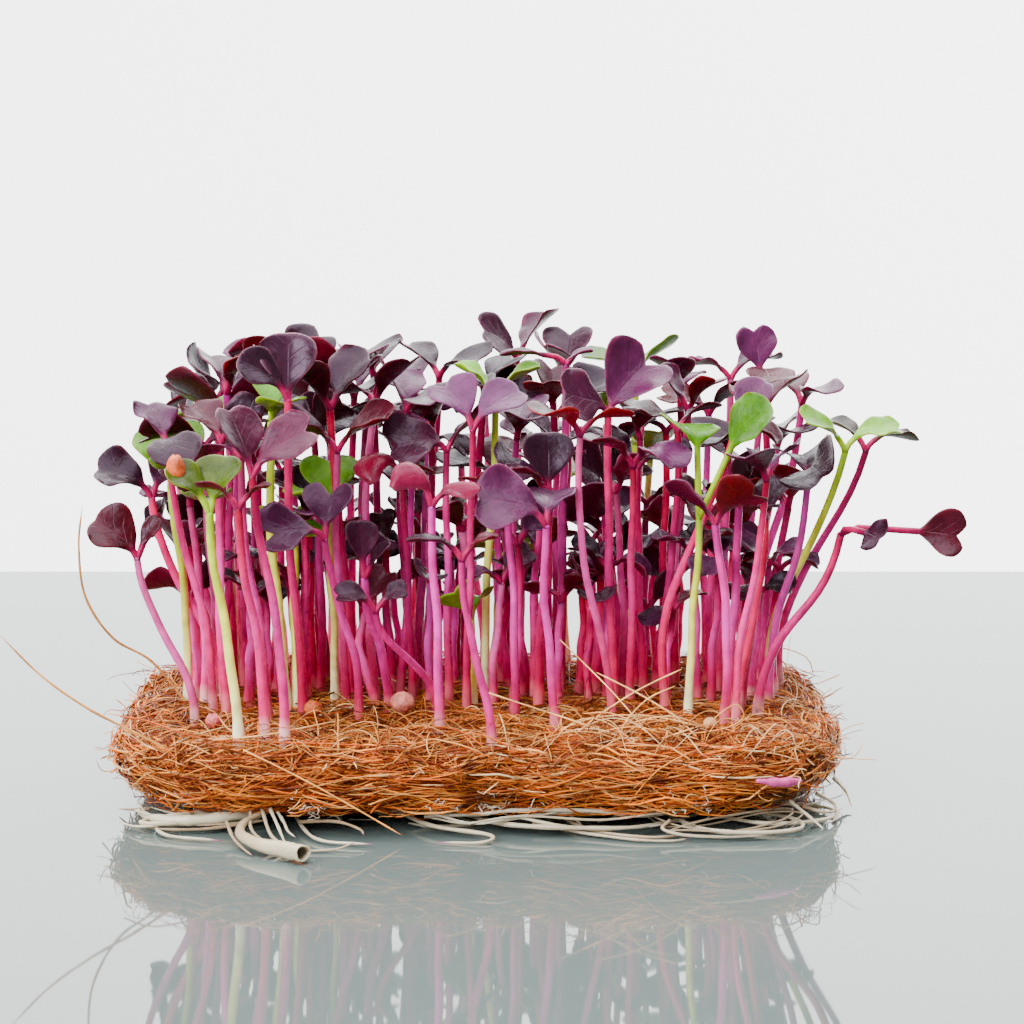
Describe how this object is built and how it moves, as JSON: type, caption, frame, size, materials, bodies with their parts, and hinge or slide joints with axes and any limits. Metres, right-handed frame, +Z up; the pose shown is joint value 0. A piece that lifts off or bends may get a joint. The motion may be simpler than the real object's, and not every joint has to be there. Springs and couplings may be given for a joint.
{
  "type": "radish microgreens on a coir mat",
  "caption": "Cut piece of coir mat with purple and green radish seedlings standing in it and white roots matted underneath.",
  "frame": {"origin": "middle of the flat underside of the root layer, on the surface that the part rests on", "axes": "+X along the mat's long side, +Y from the front edge to the back, +Z up along the stems"},
  "size_m": [0.1363, 0.0939, 0.0676],
  "materials": {
    "purple_seedling": "satin",
    "green_seedling": "satin",
    "coir": "matte, fibrous",
    "root": "moist, satin",
    "seed_coat": "matte"
  },
  "bodies": {
    "root": {"bent_seedling": "purple_seedling", "coir_mat": "coir", "dark_oval_seedling": "purple_seedling", "dark_seedling": "purple_seedling", "drooping_seedling": "purple_seedling", "fallen_piece": "purple_seedling", "far_right_seedling": "purple_seedling", "flat_pair_seedling": "purple_seedling", "forked_green_seedling": "green_seedling", "green_clump_01": "green_seedling", "green_clump_13": "green_seedling", "hanging_leaf_seedling": "purple_seedling", "hulled_green_seedling": "green_seedling", "left_green_seedling": "green_seedling", "lilac_seedling": "purple_seedling", "low_dark_seedling": "purple_seedling", "low_seedling": "purple_seedling", "maroon_seedling": "purple_seedling", "middle_green_seedling": "green_seedling", "pink_cap_seedling": "purple_seedling", "pink_dome_seedling": "purple_seedling", "purple_clump_02": "purple_seedling", "purple_clump_03": "purple_seedling", "purple_clump_04": "purple_seedling", "purple_clump_05": "purple_seedling", "purple_clump_06": "purple_seedling", "purple_clump_07": "purple_seedling", "purple_clump_08": "purple_seedling", "purple_clump_09": "purple_seedling", "purple_clump_10": "purple_seedling", "purple_clump_11": "purple_seedling", "purple_clump_14": "purple_seedling", "purple_clump_15": "purple_seedling", "purple_clump_16": "purple_seedling", "purple_clump_17": "purple_seedling", "purple_clump_18": "purple_seedling", "purple_clump_19": "purple_seedling", "purple_clump_20": "purple_seedling", "purple_clump_21": "purple_seedling", "purple_clump_22": "purple_seedling", "purple_clump_23": "purple_seedling", "purple_clump_24": "purple_seedling", "purple_clump_25": "purple_seedling", "red_under_seedling": "purple_seedling", "right_edge_seedling": "purple_seedling", "right_green_seedling": "green_seedling", "root_mat": "root", "round_leaf_seedling": "purple_seedling", "seed_brown": "seed_coat", "seed_left": "seed_coat", "seed_pink": "seed_coat", "seed_right": "seed_coat", "small_cup_seedling": "purple_seedling", "tall_back_seedling": "purple_seedling", "tall_front_seedling": "purple_seedling", "thin_leaf_seedling": "purple_seedling", "three_lobed_seedling": "purple_seedling", "top_green_seedling": "green_seedling", "violet_seedling": "purple_seedling"}
  },
  "joints": []
}
